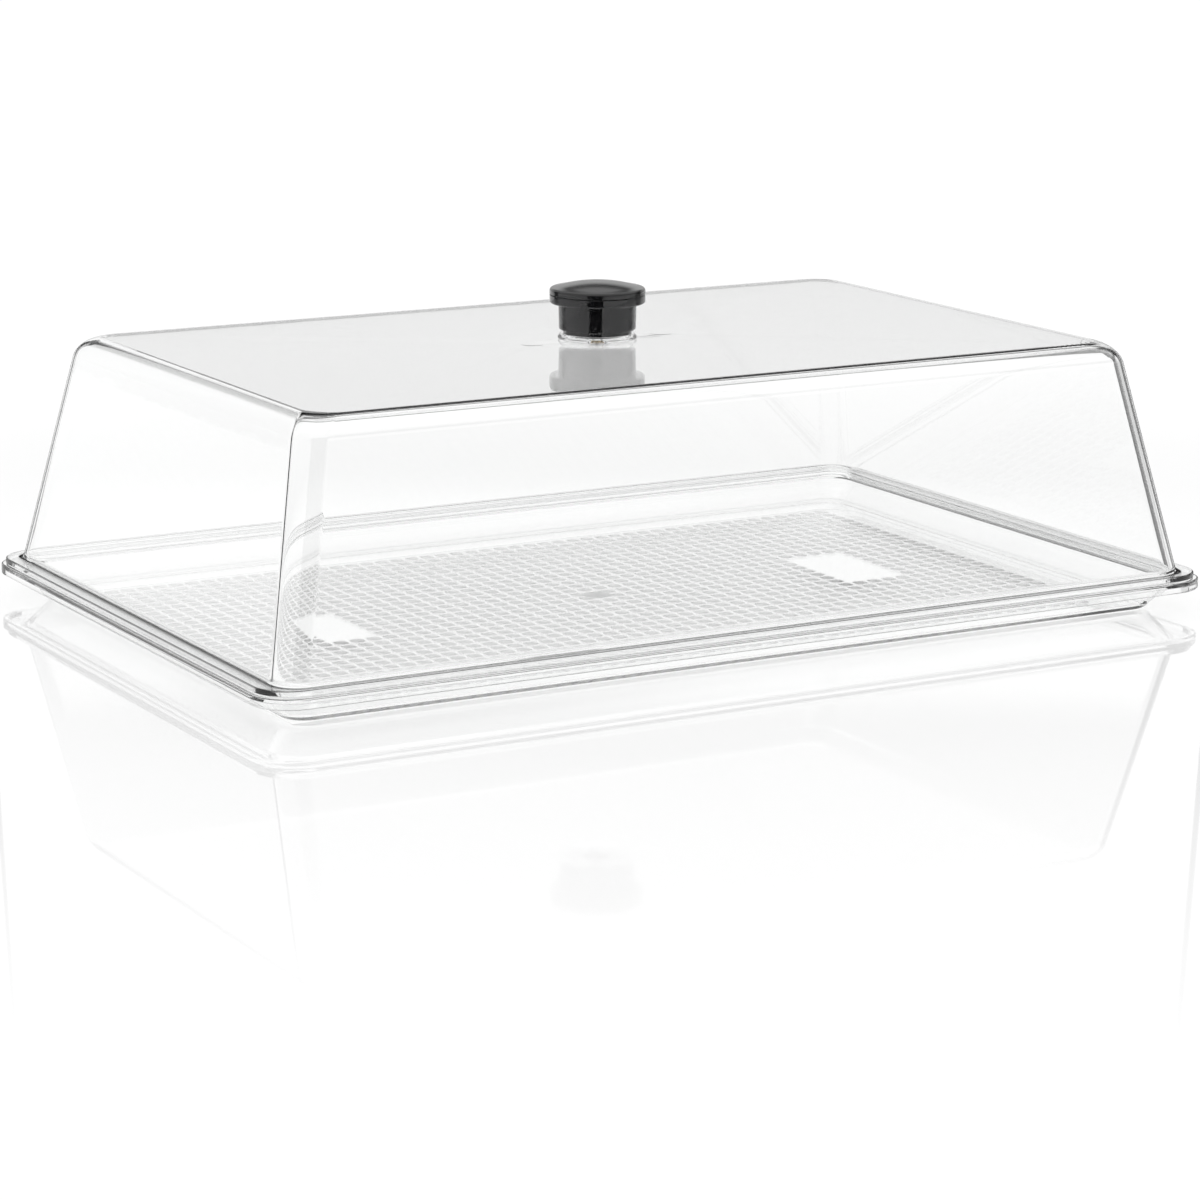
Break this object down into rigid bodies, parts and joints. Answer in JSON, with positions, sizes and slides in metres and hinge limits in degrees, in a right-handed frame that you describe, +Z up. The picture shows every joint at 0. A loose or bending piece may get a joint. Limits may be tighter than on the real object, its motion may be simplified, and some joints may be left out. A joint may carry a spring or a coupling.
{
  "type": "display tray with dome cover",
  "caption": "Shallow clear rectangular tray with a textured floor and a lift-off clear dome cover with sloped walls and a round black knob on top.",
  "frame": {"origin": "under the middle of the tray, on the surface it rests on", "axes": "+X along the long side, +Y along the short side, +Z up the knob axis"},
  "size_m": [0.53, 0.345, 0.1664],
  "materials": {
    "clear_tray": "clear gloss",
    "clear_cover": "clear gloss",
    "clear_seat": "clear gloss",
    "black_knob": "gloss black",
    "black_cap": "gloss black",
    "brass_insert": "turned",
    "steel_washer": "plain",
    "steel_screw": "plain"
  },
  "bodies": {
    "tray": {"tray": "clear_tray"},
    "cover": {"cover": "clear_cover", "seat_ring": "clear_seat", "knob_body": "black_knob", "knob_cap": "black_cap", "knob_insert": "brass_insert", "washer": "steel_washer", "screw": "steel_screw"}
  },
  "joints": [
    {"name": "cover_lift", "type": "slide", "parent": "tray", "child": "cover", "axis": [0, 0, 1], "range_m": [0, 0.16]}
  ]
}
